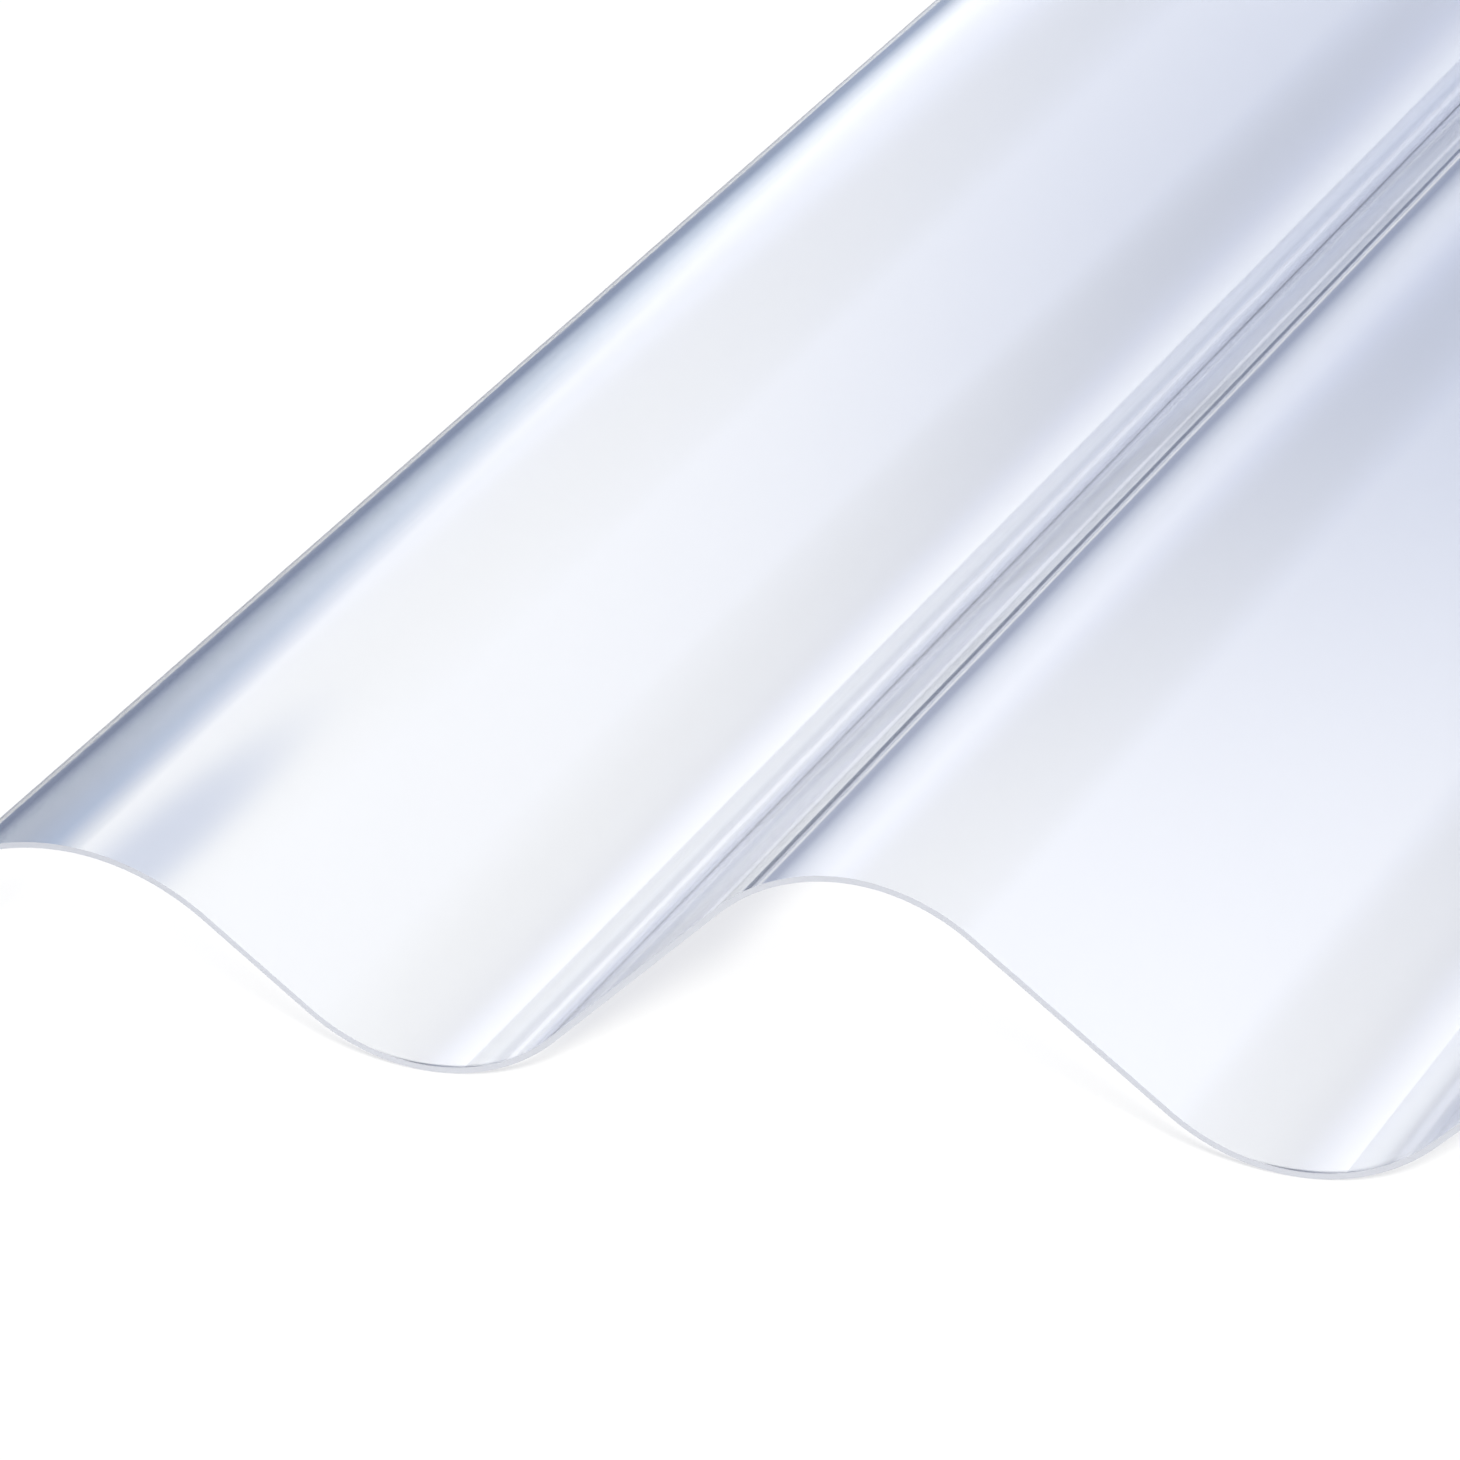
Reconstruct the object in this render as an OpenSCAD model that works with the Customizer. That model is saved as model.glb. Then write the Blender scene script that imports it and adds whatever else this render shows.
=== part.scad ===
// Corrugated roof light sheet of clear rigid PVC.
// One extruded skin of even thickness. Its section is a row of round crests and troughs
// joined by straight flanks, with a lower crest at the side that goes under its neighbour.
// X runs across the corrugations, Y along them and Z up. The sheet lies on its troughs,
// with the origin below the middle of its box.

/* [Sheet] */
// Length along the corrugations
sheet_length = 2000; // [1250:50:3100]
// Thickness of the skin
skin = 1.2; // [0.8:0.1:2]

/* [Corrugations] */
// Distance from crest to crest
pitch = 177; // [174:0.5:180]
// Height of the section, from the underside of a trough to the top of a crest
depth = 51; // [48:0.5:53]
// Slope of the straight flanks, in degrees
flank_angle = 40; // [38:0.5:41]
// Number of crests at full height
full_crests = 5; // [3:1:6]

/* [Side laps] */
// Distance from the underlap crest to the first full crest
underlap_pitch = 167; // [163:0.5:171]
// How far the underlap crest lies below a full one
underlap_drop = 11.5; // [10:0.1:13]
// Width of skin beyond the underlap crest
underlap_tail = 20; // [10:1:30]
// Width of skin beyond the last full crest
overlap_tail = 25; // [10:1:30]

/* [Smoothness] */
// Flat facets that make up each bend
bend_facets = 24; // [8:4:40]

/* [Hidden] */

// Height of a crest's middle line above mid-depth
full_rise = (depth - skin) / 2;
underlap_rise = full_rise - underlap_drop;

// Radius of a bend that climbs rise over run and leaves along a flank
function bend_radius(run, rise) = (run * tan(flank_angle) - rise) / (1 / cos(flank_angle) - 1);
full_radius = bend_radius(pitch / 4, full_rise);
underlap_radius = bend_radius(underlap_pitch - 3 * pitch / 4, underlap_rise);

// Places across the sheet
sheet_width = underlap_tail + underlap_pitch + (full_crests - 1) * pitch + overlap_tail;
underlap_x = underlap_tail - sheet_width / 2;
first_crest_x = underlap_x + underlap_pitch;

// Points of an arc about centre, in even steps from one angle to another
function arc(centre, radius, from, to) =
    [for (i = [0 : bend_facets])
        let (angle = from + (to - from) * i / bend_facets)
            centre + radius * [cos(angle), sin(angle)]];

// Bend over a crest, read from left to right. face is 1 for the upper face of the skin
// and -1 for the lower one.
function crest(x, rise, radius, face) =
    arc([x, rise - radius], radius + face * skin / 2, 90 + flank_angle, 90 - flank_angle);

// Bend through a trough, read from left to right
function trough(x, face) =
    arc([x, full_radius - full_rise], full_radius - face * skin / 2,
        270 - flank_angle, 270 + flank_angle);

// One face of the skin from left to right, with a flank beyond its outermost crests
function skin_face(face) =
    let (flank_out = pitch / 4 * [1, tan(flank_angle)],
         underlap = crest(underlap_x, underlap_rise, underlap_radius, face),
         waves = [for (i = [0 : full_crests - 1])
                     let (x = first_crest_x + i * pitch)
                         each concat(trough(x - pitch / 2, face),
                                     crest(x, full_rise, full_radius, face))])
        concat([underlap[0] - flank_out],
               underlap,
               waves,
               [waves[len(waves) - 1] + [flank_out[0], -flank_out[1]]]);

function reversed(points) = [for (i = [len(points) - 1 : -1 : 0]) points[i]];

// Section of the sheet, standing on its troughs and trimmed square at both sides
module section() {
    translate([0, depth / 2])
        intersection() {
            polygon(concat(skin_face(1), reversed(skin_face(-1))));
            square([sheet_width, 2 * depth], center = true);
        }
}

module roof_light_sheet() {
    color([0.90, 0.93, 0.97, 0.45])
        rotate([90, 0, 0])
            linear_extrude(height = sheet_length, center = true)
                section();
}

roof_light_sheet();
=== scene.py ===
"""Looks of a clear corrugated roof light sheet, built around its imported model.

The sheet is one extruded skin of clear rigid PVC that lies on its troughs. All sizes are in metres,
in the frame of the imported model: X across the corrugations, Y along them and Z up.
"""

import logging
import math
from dataclasses import dataclass, field
from enum import Enum

import bmesh
import bpy
from mathutils import Matrix, Vector


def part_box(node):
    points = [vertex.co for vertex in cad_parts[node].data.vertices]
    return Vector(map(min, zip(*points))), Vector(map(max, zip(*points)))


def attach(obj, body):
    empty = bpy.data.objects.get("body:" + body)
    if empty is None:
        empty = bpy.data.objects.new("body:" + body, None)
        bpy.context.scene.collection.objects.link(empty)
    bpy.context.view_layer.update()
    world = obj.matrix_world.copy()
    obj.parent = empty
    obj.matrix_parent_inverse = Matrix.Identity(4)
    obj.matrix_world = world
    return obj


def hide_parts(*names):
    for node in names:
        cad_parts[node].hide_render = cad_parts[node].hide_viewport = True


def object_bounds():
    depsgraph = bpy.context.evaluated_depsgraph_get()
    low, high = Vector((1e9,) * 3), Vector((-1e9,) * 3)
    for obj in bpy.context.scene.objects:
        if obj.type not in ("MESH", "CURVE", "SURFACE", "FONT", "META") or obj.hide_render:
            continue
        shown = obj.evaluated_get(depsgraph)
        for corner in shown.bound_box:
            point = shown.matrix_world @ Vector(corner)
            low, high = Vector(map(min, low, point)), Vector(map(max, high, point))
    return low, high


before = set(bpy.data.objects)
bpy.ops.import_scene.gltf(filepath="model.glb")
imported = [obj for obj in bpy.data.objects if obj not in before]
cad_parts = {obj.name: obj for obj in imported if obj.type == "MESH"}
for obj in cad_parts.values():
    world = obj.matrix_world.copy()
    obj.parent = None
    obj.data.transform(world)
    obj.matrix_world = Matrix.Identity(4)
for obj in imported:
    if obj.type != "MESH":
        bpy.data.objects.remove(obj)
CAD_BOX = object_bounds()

NODE = "roof_light_sheet"
PIECE = "clear_sheet"
MM = 0.001
WHITE = "FFFFFF"

log = logging.getLogger(NODE)


def srgb(hex_code: str) -> tuple[float, float, float, float]:
    """Turns an sRGB hex colour into a linear one.

    Args:
        hex_code: six hex digits, such as "E8EEF6".

    Returns:
        Linear red, green and blue, and an alpha of 1.
    """
    values = [int(hex_code[i : i + 2], 16) / 255 for i in (0, 2, 4)]
    linear = [v / 12.92 if v <= 0.04045 else ((v + 0.055) / 1.055) ** 2.4 for v in values]
    return (*linear, 1.0)


def add_node(
    tree: bpy.types.NodeTree,
    kind: str,
    inputs: dict | None = None,
    **settings: object,
) -> bpy.types.Node:
    """Adds a node with its settings and its inputs.

    Args:
        tree: the node tree that gets the node.
        kind: the node's type name.
        inputs: values or output sockets by input name or number.
        **settings: the node's own properties.

    Returns:
        The new node.
    """
    node = tree.nodes.new(kind)
    for name, value in settings.items():
        setattr(node, name, value)
    for key, value in (inputs or {}).items():
        if isinstance(value, bpy.types.NodeSocket):
            tree.links.new(value, node.inputs[key])
        else:
            node.inputs[key].default_value = value
    return node


def compute(tree: bpy.types.NodeTree, operation: str, *terms: object) -> bpy.types.NodeSocket:
    """Adds a calculation with numbers.

    Args:
        tree: the node tree that gets the calculation.
        operation: what is done with the terms.
        *terms: values or output sockets, in their order.

    Returns:
        The socket with the result.
    """
    inputs = dict(enumerate(terms))
    return add_node(tree, "ShaderNodeMath", inputs, operation=operation).outputs[0]


def mix_colours(
    tree: bpy.types.NodeTree, share: object, first: object, second: object, way: str = "MIX"
) -> bpy.types.NodeSocket:
    """Adds a mix of two colours.

    Args:
        tree: the node tree that gets the mix.
        share: value or socket, from 0 for the first colour to 1 for the second.
        first: colour or socket.
        second: colour or socket.
        way: how the second colour acts on the first.

    Returns:
        The socket with the colour.
    """
    # The node has sockets for each kind of data, and those for colours are found by number.
    inputs = {0: share, 6: first, 7: second}
    node = add_node(tree, "ShaderNodeMix", inputs, data_type="RGBA", blend_type=way)
    return node.outputs[2]


def mix_shaders(
    tree: bpy.types.NodeTree, share: object, first: bpy.types.Node, second: bpy.types.Node
) -> bpy.types.Node:
    """Adds a mix of two shaders: a share of 0 gives the first, and 1 gives the second."""
    inputs = {0: share, 1: first.outputs[0], 2: second.outputs[0]}
    return add_node(tree, "ShaderNodeMixShader", inputs)


def add_ramp(
    tree: bpy.types.NodeTree,
    place: bpy.types.NodeSocket,
    stops: list[tuple[float, tuple[float, ...]]],
) -> bpy.types.NodeSocket:
    """Adds a ramp of colours.

    Args:
        tree: the node tree that gets the ramp.
        place: the socket with the place on the ramp, from 0 to 1.
        stops: place on the ramp and linear colour with alpha, in rising order.

    Returns:
        The socket with the colour.
    """
    node = add_node(tree, "ShaderNodeValToRGB", {0: place})
    elements = node.color_ramp.elements
    while len(elements) < len(stops):
        elements.new(stops[-1][0])
    for element, (position, colour) in zip(elements, stops):
        element.position = position
        element.color = colour
    return node.outputs[0]


def empty_material(name: str) -> bpy.types.Material:
    """Makes a material whose node tree is empty.

    Args:
        name: the material's name.

    Returns:
        The new material.
    """
    material = bpy.data.materials.new(name)
    material.use_nodes = True
    material.node_tree.nodes.clear()
    return material


class Side(Enum):
    """Which way a bend of the wave opens."""

    CREST = 1
    TROUGH = -1


class Finish(Enum):
    """Which of the sheet's finishes a face gets."""

    CLEAR = 0
    SAWN_END = 1
    SLIT_SIDE = 2


@dataclass
class Bend:
    """One round bend of the wave; its angles are the slopes of the skin, falling to the right."""

    centre: Vector
    radius: float
    side: Side
    start: float
    end: float

    def at(self, slope: float) -> Vector:
        """Gives the point of the bend where the skin has this slope."""
        way = self.side.value * self.radius
        return self.centre + way * Vector((math.sin(slope), 0, math.cos(slope)))


@dataclass(frozen=True)
class Unevenness:
    """A noise pattern: its coarsest spacing in mm, how much finer it goes, and how strongly."""

    spacing: float
    detail: float
    fine_share: float = 0.5

    def add(self, tree: bpy.types.NodeTree, place: bpy.types.NodeSocket) -> bpy.types.NodeSocket:
        """Adds the pattern to a node tree.

        Args:
            tree: the node tree that gets the pattern.
            place: the socket with the place on the piece, in metres.

        Returns:
            The socket with the pattern, from 0 to 1.
        """
        noise = {
            "Vector": place,
            "Scale": 1 / (self.spacing * MM),
            "Detail": self.detail,
            "Roughness": self.fine_share,
        }
        return add_node(tree, "ShaderNodeTexNoise", noise).outputs[0]


@dataclass(frozen=True)
class ClearPvc:
    """Extruded clear rigid PVC, with the gloss that the polished die leaves on it.

    Seen face on, the eye looks straight through it. Where the skin turns away it is seen at a
    slant, looks deeper and faintly blue, and mirrors the room in stripes along the corrugations.
    """

    name: str = "extruded clear rigid PVC"
    tint: str = "FCFDFD"
    deep_tint: str = "ECF0FF"
    ior: float = 1.54
    roughness: float = 0.01
    # Handling dulls the gloss slightly, in streaks about 17 mm wide along the sheet.
    haze_roughness: float = 0.04
    haze: Unevenness = Unevenness(spacing=16.667, detail=2.0)
    haze_range: tuple[float, float] = (0.35, 0.7)
    # Real die lines are a few tenths of a millimetre apart, too fine to show. They are drawn
    # 6.25 mm apart, with finer ones between them, and 0.0048 mm deep.
    die_lines: Unevenness = Unevenness(spacing=6.25, detail=3.0, fine_share=0.6)
    die_depth: float = 0.0048
    # The pattern's scale along the sheet, which draws the die lines and streaks out 33 times.
    along_scale: float = 0.03
    # Uneven cooling leaves a slight bow: 0.12 mm over about 110 mm.
    bow: Unevenness = Unevenness(spacing=111.11, detail=1.0)
    bow_depth: float = 0.12
    # What is left of a lamp's light behind the sheet, face on and at a slant. It makes the shadow.
    lamp_tint: str = "FDFDFE"
    lamp_shade: str = "6A7494"
    # Where the slant starts and ends, from 0 face on to 1 edge on, for the eye and for a lamp.
    glance: tuple[float, float] = (0.78, 0.96)
    lamp_glance: tuple[float, float] = (0.69, 0.89)

    def slanted(
        self, tree: bpy.types.NodeTree, span: tuple[float, float], clear: str, deep: str
    ) -> bpy.types.NodeSocket:
        """Adds a colour that goes from one tint to another as the skin is seen at a slant.

        Args:
            tree: the material's node tree.
            span: where the change starts and ends, from 0 face on to 1 edge on.
            clear: hex colour face on.
            deep: hex colour at a slant.

        Returns:
            The socket with the colour.
        """
        facing = add_node(tree, "ShaderNodeLayerWeight").outputs["Facing"]
        start, end = span
        share = add_node(
            tree,
            "ShaderNodeMapRange",
            {"Value": facing, "From Min": start, "From Max": end},
            interpolation_type="SMOOTHSTEP",
        )
        return mix_colours(tree, share.outputs[0], srgb(clear), srgb(deep))

    def skin(self, tree: bpy.types.NodeTree) -> bpy.types.Node:
        """Adds the glossy clear skin with its die lines, bow and haze.

        Args:
            tree: the material's node tree.

        Returns:
            The shader node.
        """
        place = add_node(tree, "ShaderNodeTexCoord").outputs["Object"]
        drawn_out = {"Vector": place, "Scale": (1.0, self.along_scale, 1.0)}
        along = add_node(tree, "ShaderNodeMapping", drawn_out).outputs["Vector"]
        die = add_node(
            tree,
            "ShaderNodeBump",
            {"Distance": self.die_depth * MM, "Height": self.die_lines.add(tree, along)},
        )
        bow = add_node(
            tree,
            "ShaderNodeBump",
            {
                "Distance": self.bow_depth * MM,
                "Height": self.bow.add(tree, place),
                "Normal": die.outputs["Normal"],
            },
        )
        low, high = self.haze_range
        streaks = {
            "Value": self.haze.add(tree, along),
            "From Min": low,
            "From Max": high,
            "To Min": self.roughness,
            "To Max": self.haze_roughness,
        }
        return add_node(
            tree,
            "ShaderNodeBsdfPrincipled",
            {
                "Base Color": self.slanted(tree, self.glance, self.tint, self.deep_tint),
                "Roughness": add_node(tree, "ShaderNodeMapRange", streaks).outputs[0],
                "IOR": self.ior,
                "Transmission Weight": 1.0,
                "Normal": bow.outputs["Normal"],
            },
        )

    def build(self) -> bpy.types.Material:
        """Makes the material, which lets the lamps through so that the floor below is lit.

        Returns:
            The material.
        """
        material = empty_material(self.name)
        tree = material.node_tree
        surface = self.skin(tree)
        passed = self.slanted(tree, self.lamp_glance, self.lamp_tint, self.lamp_shade)
        clear = add_node(tree, "ShaderNodeBsdfTransparent", {"Color": passed})
        ray = add_node(tree, "ShaderNodeLightPath").outputs
        for kind in ("Is Diffuse Ray", "Is Shadow Ray"):
            surface = mix_shaders(tree, ray[kind], surface, clear)
        add_node(tree, "ShaderNodeOutputMaterial", {"Surface": surface.outputs[0]})
        return material


@dataclass(frozen=True)
class CutEdge:
    """A cut edge of the clear PVC sheet.

    The cut frosts the plastic, so the edge scatters the light that the skin carries to it and
    looks pale grey beside the clear faces.
    """

    name: str = "sawn edge of clear PVC"
    tint: str = "B4B6BB"
    ior: float = 1.54
    roughness: float = 0.5
    clearness: float = 0.25
    # A fine saw leaves grain about 0.2 mm wide, too fine to show, so it is drawn 1.1 mm wide.
    grain: Unevenness = Unevenness(spacing=1.1111, detail=2.0)
    grain_depth: float = 0.05
    grain_strength: float = 0.5

    def build(self) -> bpy.types.Material:
        """Makes the material, frosted and with the grain of the cut.

        Returns:
            The material.
        """
        material = empty_material(self.name)
        tree = material.node_tree
        place = add_node(tree, "ShaderNodeTexCoord").outputs["Object"]
        bump = add_node(
            tree,
            "ShaderNodeBump",
            {
                "Strength": self.grain_strength,
                "Distance": self.grain_depth * MM,
                "Height": self.grain.add(tree, place),
            },
        )
        frosted = add_node(
            tree,
            "ShaderNodeBsdfPrincipled",
            {
                "Base Color": srgb(self.tint),
                "Roughness": self.roughness,
                "IOR": self.ior,
                "Transmission Weight": self.clearness,
                "Normal": bump.outputs["Normal"],
            },
        )
        add_node(tree, "ShaderNodeOutputMaterial", {"Surface": frosted.outputs[0]})
        return material


@dataclass
class CorrugatedSheet:
    """The sheet: one skin of even thickness, bent into round crests and troughs."""

    low: Vector
    high: Vector
    skin: float = 1.2 * MM
    pitch: float = 177.0 * MM
    flank_angle: float = math.radians(40.0)
    full_crests: int = 5
    # The low crest at the left goes under the next sheet, and the last one goes over it.
    underlap_pitch: float = 167.0 * MM
    underlap_drop: float = 11.5 * MM
    underlap_tail: float = 20.0 * MM
    overlap_tail: float = 25.0 * MM
    # Both side tails are drawn this much too long and then trimmed upright.
    trim: float = 4.0 * MM
    # Facets round a bend from flank to flank, the fewest in any bend, and lengths along the sheet.
    bend_steps: int = 64
    fewest_steps: int = 2
    length_steps: int = 16
    # Corners sharper than this stay crisp.
    sharp_angle: float = math.radians(40)
    # A face that looks along X or Y by more than this share is a cut edge.
    squareness: float = 0.9
    surface: ClearPvc = field(default_factory=ClearPvc)
    sawn_end: CutEdge = field(default_factory=CutEdge)
    # The slitting knife leaves the long sides smoother. Their darker, bluer tint is painted shade.
    slit_side: CutEdge = field(
        default_factory=lambda: CutEdge("slit side edge of clear PVC", "5E6884", roughness=0.35)
    )

    def bend_radius(self, run: float, rise: float) -> float:
        """Gives the middle radius of a bend that takes up rise over run and ends along a flank."""
        return (run * math.tan(self.flank_angle) - rise) / (1 / math.cos(self.flank_angle) - 1)

    def bends(self) -> list[Bend]:
        """Works out the bends of the upper face of the skin.

        Returns:
            The bends from left to right.
        """
        height = self.high.z - self.low.z
        middle = self.low.z + height / 2
        full_rise = (height - self.skin) / 2
        full_radius = self.bend_radius(self.pitch / 4, full_rise)
        low_rise = full_rise - self.underlap_drop
        low_radius = self.bend_radius(self.underlap_pitch - 3 * self.pitch / 4, low_rise)
        underlap_x = self.low.x + self.underlap_tail
        half = self.skin / 2

        def bend(
            x: float, rise: float, radius: float, side: Side, start: float, end: float
        ) -> Bend:
            """Places one bend by the height of its middle line at its crown."""
            centre = Vector((x, self.low.y, middle + side.value * (rise - radius)))
            return Bend(centre, radius + side.value * half, side, start, end)

        flank = self.flank_angle
        tail = -math.asin((self.underlap_tail + self.trim) / low_radius)
        made = [bend(underlap_x, low_rise, low_radius, Side.CREST, tail, flank)]
        for i in range(self.full_crests):
            x = underlap_x + self.underlap_pitch + i * self.pitch
            trough_x = x - self.pitch / 2
            made.append(bend(trough_x, full_rise, full_radius, Side.TROUGH, flank, -flank))
            made.append(bend(x, full_rise, full_radius, Side.CREST, -flank, flank))
        made[-1].end = math.asin((self.overlap_tail + self.trim) / full_radius)
        return made

    def trace_section(self, bm: bmesh.types.BMesh) -> None:
        """Draws the upper face of the skin at the near end, from left to right.

        Args:
            bm: the empty mesh that gets the line.
        """
        tip = None
        for bend in self.bends():
            start = bend.at(bend.start)
            if tip is None:
                tip = bmesh.ops.create_vert(bm, co=start)["vert"][0]
            else:
                made = bmesh.ops.extrude_vert_indiv(bm, verts=[tip])["verts"]
                bmesh.ops.translate(bm, verts=made, vec=start - tip.co)
                tip = made[0]
            sweep = bend.end - bend.start
            steps = round(self.bend_steps * abs(sweep) / (2 * self.flank_angle))
            made = bmesh.ops.spin(
                bm,
                geom=[tip],
                cent=bend.centre,
                axis=(0, 1, 0),
                dvec=(0, 0, 0),
                angle=sweep,
                steps=max(self.fewest_steps, steps),
            )
            tip = next(g for g in made["geom_last"] if isinstance(g, bmesh.types.BMVert))

    def draw_out(self, bm: bmesh.types.BMesh) -> None:
        """Extrudes the section along Y to the sheet's length.

        Args:
            bm: the mesh that holds the section as a line.
        """
        edges = list(bm.edges)
        step = Vector((0, (self.high.y - self.low.y) / self.length_steps, 0))
        for _ in range(self.length_steps):
            made = bmesh.ops.extrude_edge_only(bm, edges=edges)["geom"]
            rim = [g for g in made if isinstance(g, bmesh.types.BMVert)]
            edges = [
                g
                for g in made
                if isinstance(g, bmesh.types.BMEdge) and all(v in rim for v in g.verts)
            ]
            bmesh.ops.translate(bm, verts=rim, vec=step)

    def thicken(self, bm: bmesh.types.BMesh) -> None:
        """Gives the upper face its skin, downwards.

        Args:
            bm: the mesh that holds the upper face alone.
        """
        bmesh.ops.recalc_face_normals(bm, faces=bm.faces)
        if bm.faces[0].normal.z < 0:
            bmesh.ops.reverse_faces(bm, faces=bm.faces)
        bmesh.ops.solidify(bm, geom=list(bm.faces), thickness=self.skin)

    def trim_sides(self, bm: bmesh.types.BMesh) -> None:
        """Cuts both long sides upright at the sheet's width and closes the cuts.

        Args:
            bm: the mesh that holds the skin.
        """
        for x, way in ((self.low.x, -1), (self.high.x, 1)):
            cut = bmesh.ops.bisect_plane(
                bm,
                geom=bm.verts[:] + bm.edges[:] + bm.faces[:],
                plane_co=(x, 0, 0),
                plane_no=(way, 0, 0),
                clear_outer=True,
            )["geom_cut"]
            rim = [g for g in cut if isinstance(g, bmesh.types.BMEdge)]
            bmesh.ops.holes_fill(bm, edges=rim, sides=0)
        bmesh.ops.recalc_face_normals(bm, faces=bm.faces)

    def finish_of(self, normal: Vector) -> Finish:
        """Tells the cut edges from the clear skin by the way they face.

        Args:
            normal: the direction that the face looks in.

        Returns:
            The finish of the face.
        """
        if abs(normal.y) > self.squareness:
            return Finish.SAWN_END
        return Finish.SLIT_SIDE if abs(normal.x) > self.squareness else Finish.CLEAR

    def build(self) -> bpy.types.Object:
        """Makes the sheet and dresses its skin, its sawn ends and its slit sides.

        Returns:
            The finished piece.
        """
        bm = bmesh.new()
        self.trace_section(bm)
        self.draw_out(bm)
        self.thicken(bm)
        self.trim_sides(bm)
        for face in bm.faces:
            face.smooth = True
            face.material_index = self.finish_of(face.normal).value
        mesh = bpy.data.meshes.new(PIECE)
        bm.to_mesh(mesh)
        bm.free()
        mesh.set_sharp_from_angle(angle=self.sharp_angle)
        finishes = {
            Finish.CLEAR: self.surface,
            Finish.SAWN_END: self.sawn_end,
            Finish.SLIT_SIDE: self.slit_side,
        }
        for finish in Finish:
            mesh.materials.append(finishes[finish].build())
        piece = bpy.data.objects.new(PIECE, mesh)
        bpy.context.scene.collection.objects.link(piece)
        return piece


@dataclass(frozen=True)
class Shade:
    """A soft spot of painted shade in the floor's colour, seen only in the sheet and through it.

    It is an oval of this centre, spread and colour. A higher flatness evens out its middle.
    """

    centre: tuple[float, float]
    spread: tuple[float, float]
    colour: str
    flatness: float


@dataclass(frozen=True)
class PaintedDarkBand:
    """A dark band painted into the floor's colour left of the sheet: painted shade that shows in
    the clear skin.

    Its near edge is crisp and pale. Behind that it gets darker and bluer over a soft strip, and its
    far side fades out. Places are measured to the left from the middle of the sheet, and the slant
    is how much further left the band lies for each metre towards the back.
    """

    rim: str = "A9B7CA"
    edge: str = "486284"
    colour: str = "3A465E"
    near: float = 0.5134
    crispness: float = 0.8 * MM
    soft: float = 0.0125
    edge_share: float = 0.6
    far: float = 0.70
    fade: float = 0.15
    slant: float = 0.033

    def stops(self) -> list[tuple[float, str]]:
        """Lists the colours that the painted dark band goes through.

        Returns:
            Place in metres and hex colour, from the sheet to the left.
        """
        return [
            (self.near - self.crispness, WHITE),
            (self.near + self.crispness, self.rim),
            (self.near + self.edge_share * self.soft, self.edge),
            (self.near + self.soft, self.colour),
            (self.far, self.colour),
            (self.far + self.fade, WHITE),
        ]


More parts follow.
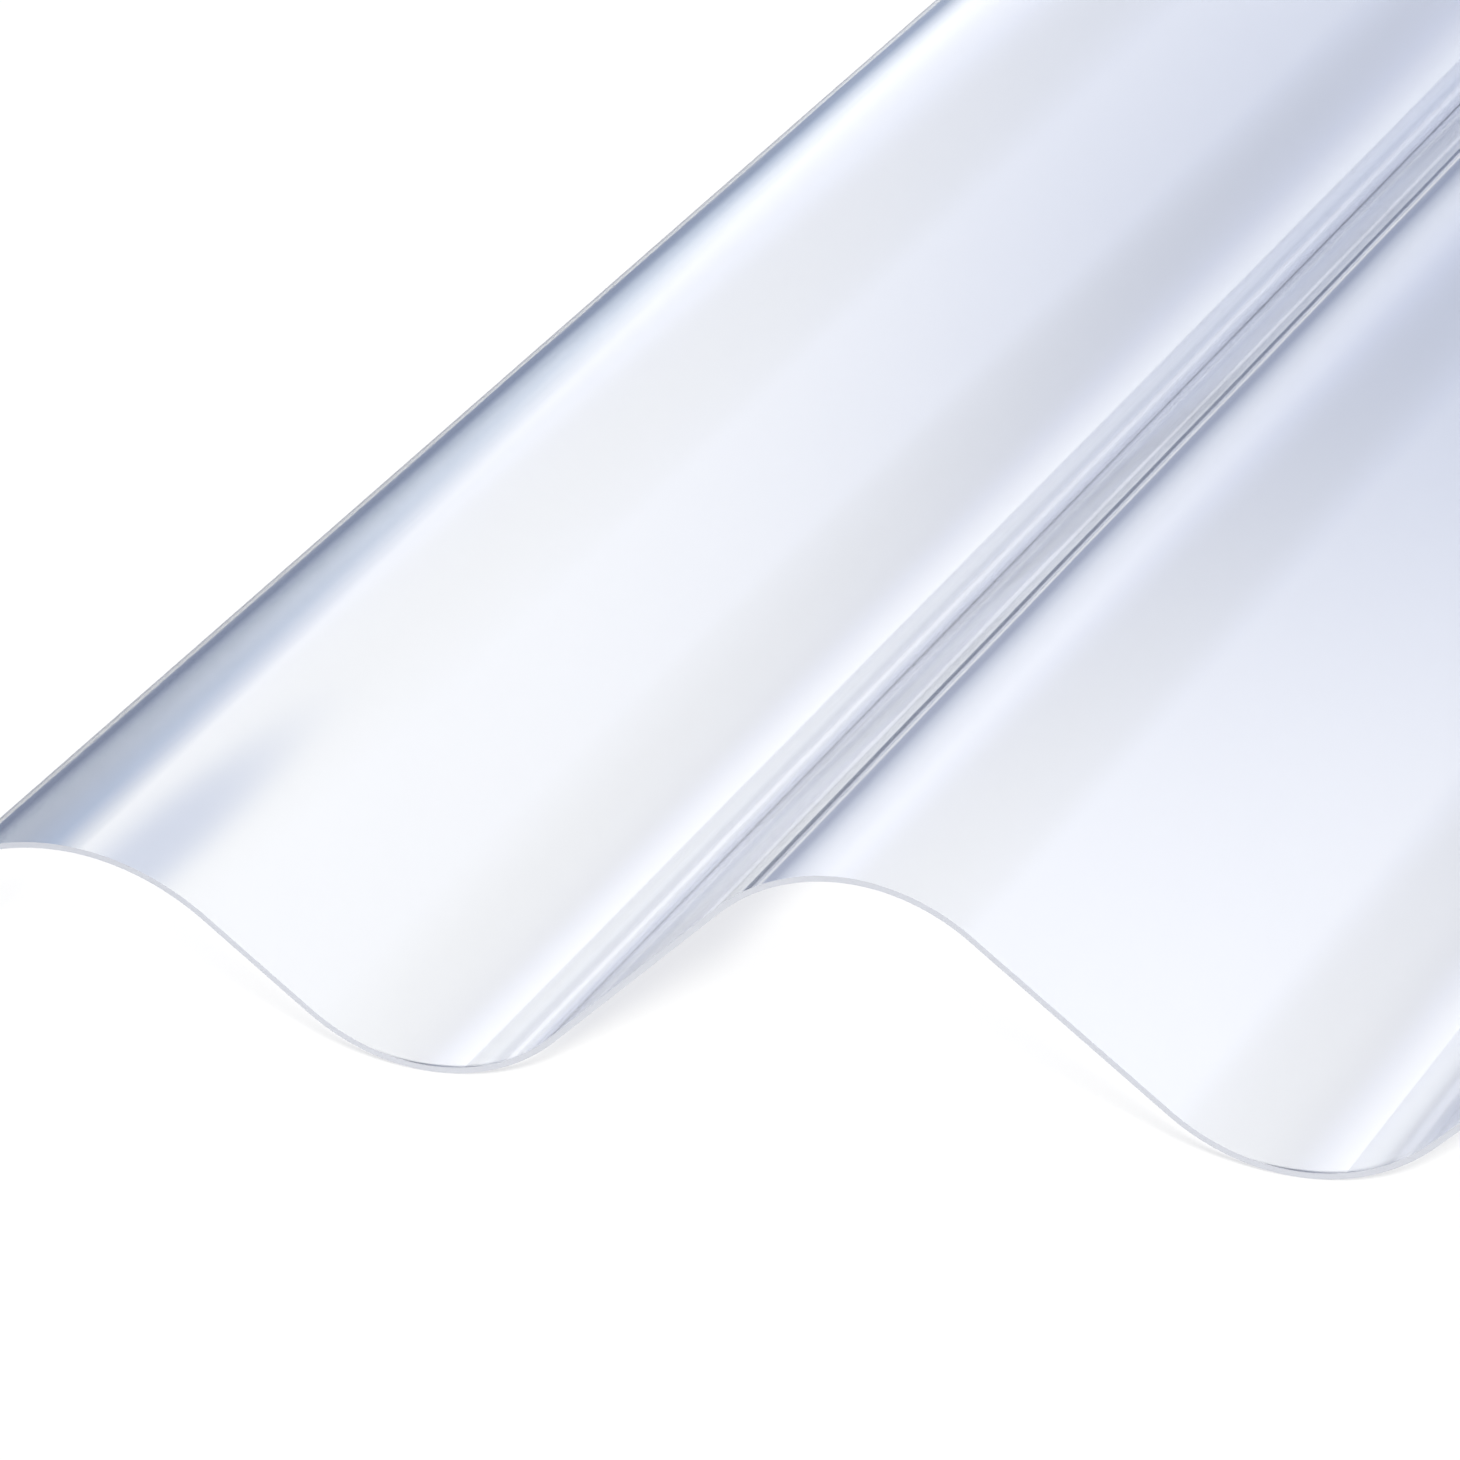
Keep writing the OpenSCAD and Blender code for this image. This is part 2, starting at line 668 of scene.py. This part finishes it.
@dataclass(frozen=True)
class PaintedFloor:
    """White painted studio floor: matt and even, with a dark band and soft spots of shade painted
    into its colour.

    The painted dark band and painted shade are seen only in the sheet and through it. Seen straight
    on, the floor stays white, and part of it glows, so that only a faint shadow of the sheet is
    left.
    """

    name: str = "white painted floor"
    half: float = 60.0
    gap: float = 0.2 * MM
    colour: str = "F8F8F4"
    glow: float = 0.65
    # Soft spots of painted shade: darker blue-grey ovals in the floor's colour.
    shades: tuple[Shade, ...] = (
        Shade((0.000, -0.200), (0.450, 0.700), "C6CAD3", 2.0),
        Shade((0.000, 0.380), (0.720, 0.930), "C3C9D4", 3.0),
        Shade((-0.255, -0.440), (0.170, 0.310), "B8BECA", 1.4),
        Shade((-0.463, -0.925), (0.011, 0.060), "D4D9E2", 1.5),
    )
    # A spread in height so wide that the shades don't depend on the height.
    any_height: float = 1000.0
    # A dark band of painted shade, left of the sheet.
    dark_band: PaintedDarkBand = PaintedDarkBand()
    # The colour ramp of the painted dark band covers this many metres.
    ramp_length: float = 2.0

    def shaded(self, tree: bpy.types.NodeTree, place: bpy.types.NodeSocket) -> bpy.types.NodeSocket:
        """Adds the paint's colour with the painted soft shade on it.

        Args:
            tree: the floor's node tree.
            place: the socket with the place on the floor, in metres.

        Returns:
            The socket with the colour.
        """
        kind = "ShaderNodeVectorMath"
        tone = srgb(self.colour)
        for spot in self.shades:
            # At d spreads from the centre, the shade's share is exp(-(d * d) ** flatness).
            centre = (*spot.centre, 0.0)
            offset = add_node(tree, kind, {0: place, 1: centre}, operation="SUBTRACT").outputs[0]
            spread = (*spot.spread, self.any_height)
            away = add_node(tree, kind, {0: offset, 1: spread}, operation="DIVIDE").outputs[0]
            square = add_node(tree, kind, {0: away, 1: away}, operation="DOT_PRODUCT")
            fall = compute(tree, "POWER", square.outputs["Value"], spot.flatness)
            share = compute(tree, "POWER", math.exp(-1), fall)
            tone = mix_colours(tree, share, tone, srgb(spot.colour))
        return tone

    def with_dark_band(
        self,
        tree: bpy.types.NodeTree,
        place: bpy.types.NodeSocket,
        tone: bpy.types.NodeSocket,
    ) -> bpy.types.NodeSocket:
        """Adds the painted dark band, which is painted shade, to the floor's colour.

        Args:
            tree: the floor's node tree.
            place: the socket with the place on the floor, in metres.
            tone: the socket with the colour of the floor without the painted dark band.

        Returns:
            The socket with the colour.
        """
        axes = add_node(tree, "ShaderNodeSeparateXYZ", {"Vector": place}).outputs
        left = compute(tree, "MULTIPLY", axes["X"], -1.0)
        across = compute(tree, "MULTIPLY_ADD", axes["Y"], -self.dark_band.slant, left)
        share = compute(tree, "MULTIPLY", across, 1 / self.ramp_length)
        stops = [(x / self.ramp_length, srgb(colour)) for x, colour in self.dark_band.stops()]
        return mix_colours(tree, 1.0, tone, add_ramp(tree, share, stops), "MULTIPLY")

    def build_material(self) -> bpy.types.Material:
        """Makes the floor's material.

        Returns:
            The material.
        """
        material = empty_material(self.name)
        tree = material.node_tree
        place = add_node(tree, "ShaderNodeTexCoord").outputs["Object"]
        tone = self.with_dark_band(tree, place, self.shaded(tree, place))
        # Rays other than the camera's see the paint with its painted shade and painted dark band.
        far = add_node(tree, "ShaderNodeBsdfDiffuse", {"Color": tone})
        paint = add_node(tree, "ShaderNodeBsdfDiffuse", {"Color": srgb(self.colour)})
        white = add_node(tree, "ShaderNodeEmission", {"Color": srgb(WHITE), "Strength": 1.0})
        near = mix_shaders(tree, self.glow, paint, white)
        ray = add_node(tree, "ShaderNodeLightPath").outputs
        mix = mix_shaders(tree, ray["Is Camera Ray"], far, near)
        add_node(tree, "ShaderNodeOutputMaterial", {"Surface": mix.outputs[0]})
        return material

    def build(self) -> None:
        """Lays the floor just under the sheet."""
        bm = bmesh.new()
        bmesh.ops.create_grid(bm, x_segments=1, y_segments=1, size=self.half)
        bmesh.ops.translate(bm, verts=bm.verts, vec=(0, 0, CAD_BOX[0].z - self.gap))
        mesh = bpy.data.meshes.new("floor")
        bm.to_mesh(mesh)
        bm.free()
        floor = bpy.data.objects.new("floor", mesh)
        bpy.context.scene.collection.objects.link(floor)
        mesh.materials.append(self.build_material())


@dataclass(frozen=True)
class Room:
    """The room round the sheet: a bright low band of windows, and a dim ceiling.

    The bands give the light that comes from each height, in degrees above the floor. The room
    lights the sheet and shows in its gloss. Seen straight or through the clear skin, it is white.
    """

    bands: tuple[tuple[float, tuple[float, float, float]], ...] = (
        (0.0, (0.42, 0.47, 0.62)),
        (4.0, (0.42, 0.47, 0.62)),
        (7.5, (0.84, 0.90, 1.04)),
        (12.0, (1.20, 1.25, 1.36)),
        (16.0, (1.27, 1.31, 1.42)),
        (22.0, (1.02, 1.06, 1.24)),
        (26.0, (0.70, 0.75, 0.98)),
        (30.0, (0.40, 0.43, 0.56)),
        (36.0, (0.28, 0.30, 0.36)),
        (50.0, (0.16, 0.165, 0.19)),
        (90.0, (0.16, 0.165, 0.19)),
    )
    top: float = 90.0
    # A colour ramp holds no more than 1, so the strength carries the rest.
    strength: float = 2.0
    # A ray that was mirrored has a glossy depth of 1 or more.
    mirrored: float = 0.5

    def build(self) -> None:
        """Sets the light from all round."""
        world = bpy.data.worlds.new("studio")
        bpy.context.scene.world = world
        world.use_nodes = True
        tree = world.node_tree
        tree.nodes.clear()
        place = add_node(tree, "ShaderNodeTexCoord").outputs["Generated"]
        axes = add_node(tree, "ShaderNodeSeparateXYZ", {"Vector": place}).outputs
        height = compute(tree, "ARCSINE", axes["Z"])
        quarter_turn = {"Value": height, "From Max": math.radians(self.top)}
        share = add_node(tree, "ShaderNodeMapRange", quarter_turn).outputs[0]
        stops = [
            (angle / self.top, (*(v / self.strength for v in light), 1.0))
            for angle, light in self.bands
        ]
        lit = {"Color": add_ramp(tree, share, stops), "Strength": self.strength}
        room = add_node(tree, "ShaderNodeBackground", lit)
        white = add_node(tree, "ShaderNodeBackground", {"Color": srgb(WHITE), "Strength": 1.0})
        ray = add_node(tree, "ShaderNodeLightPath").outputs
        direct = compute(tree, "LESS_THAN", ray["Glossy Depth"], self.mirrored)
        through = compute(tree, "MULTIPLY", ray["Is Transmission Ray"], direct)
        seen = compute(tree, "MAXIMUM", ray["Is Camera Ray"], through)
        mix = mix_shaders(tree, seen, room, white)
        add_node(tree, "ShaderNodeOutputWorld", {"Surface": mix.outputs[0]})


@dataclass(frozen=True)
class KeyLamp:
    """The soft key lamp, far off at the front right, and as wide as this angle looks."""

    energy: float = 4.6
    colour: tuple[float, float, float] = (1.0, 0.985, 0.965)
    width: float = math.radians(9)
    toward: tuple[float, float, float] = (0.42, -0.75, 0.565)

    def build(self) -> None:
        """Hangs the lamp."""
        lamp = bpy.data.lights.new("key", "SUN")
        lamp.energy = self.energy
        lamp.color = self.colour
        lamp.angle = self.width
        key = bpy.data.objects.new("key", lamp)
        toward = Vector(self.toward).normalized()
        key.rotation_euler = toward.to_track_quat("Z", "Y").to_euler()
        bpy.context.scene.collection.objects.link(key)


@dataclass
class Camera:
    """The camera, turned as the sheet is usually shown: low corner left, crests running away."""

    azimuth: float = math.radians(26.047)
    elevation: float = math.radians(23.893)
    roll: float = math.radians(-5.284)
    place: Vector = field(default_factory=lambda: Vector((376.2, -2368.2, 753.4)) * MM)
    lens: float = 223.01
    clip: tuple[float, float] = (0.05, 300.0)

    def build(self) -> None:
        """Places the camera and makes it the scene's."""
        forward = Vector(
            (
                -math.sin(self.azimuth) * math.cos(self.elevation),
                math.cos(self.azimuth) * math.cos(self.elevation),
                -math.sin(self.elevation),
            )
        )
        level = Vector((math.cos(self.azimuth), math.sin(self.azimuth), 0))
        upright = level.cross(forward)
        right = level * math.cos(self.roll) + upright * math.sin(self.roll)
        up = -level * math.sin(self.roll) + upright * math.cos(self.roll)
        data = bpy.data.cameras.new("camera")
        data.lens = self.lens
        data.clip_start, data.clip_end = self.clip
        camera = bpy.data.objects.new("camera", data)
        turn = Matrix((right, up, -forward)).transposed()
        camera.matrix_world = Matrix.Translation(self.place) @ turn.to_4x4()
        bpy.context.scene.collection.objects.link(camera)
        bpy.context.scene.camera = camera


def main() -> None:
    """Builds the camera, the sheet and the studio, and reports each piece."""
    logging.basicConfig(level=logging.INFO, format="%(message)s")
    Camera().build()
    low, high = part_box(NODE)
    piece = CorrugatedSheet(low, high).build()
    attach(piece, "root")
    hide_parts(NODE)
    log.info("%s: %d faces", piece.name, len(piece.data.polygons))
    PaintedFloor().build()
    Room().build()
    KeyLamp().build()
    log.info("floor, room and key lamp: built")
    bpy.context.scene.view_settings.view_transform = "Standard"


if __name__ == "__main__":
    main()
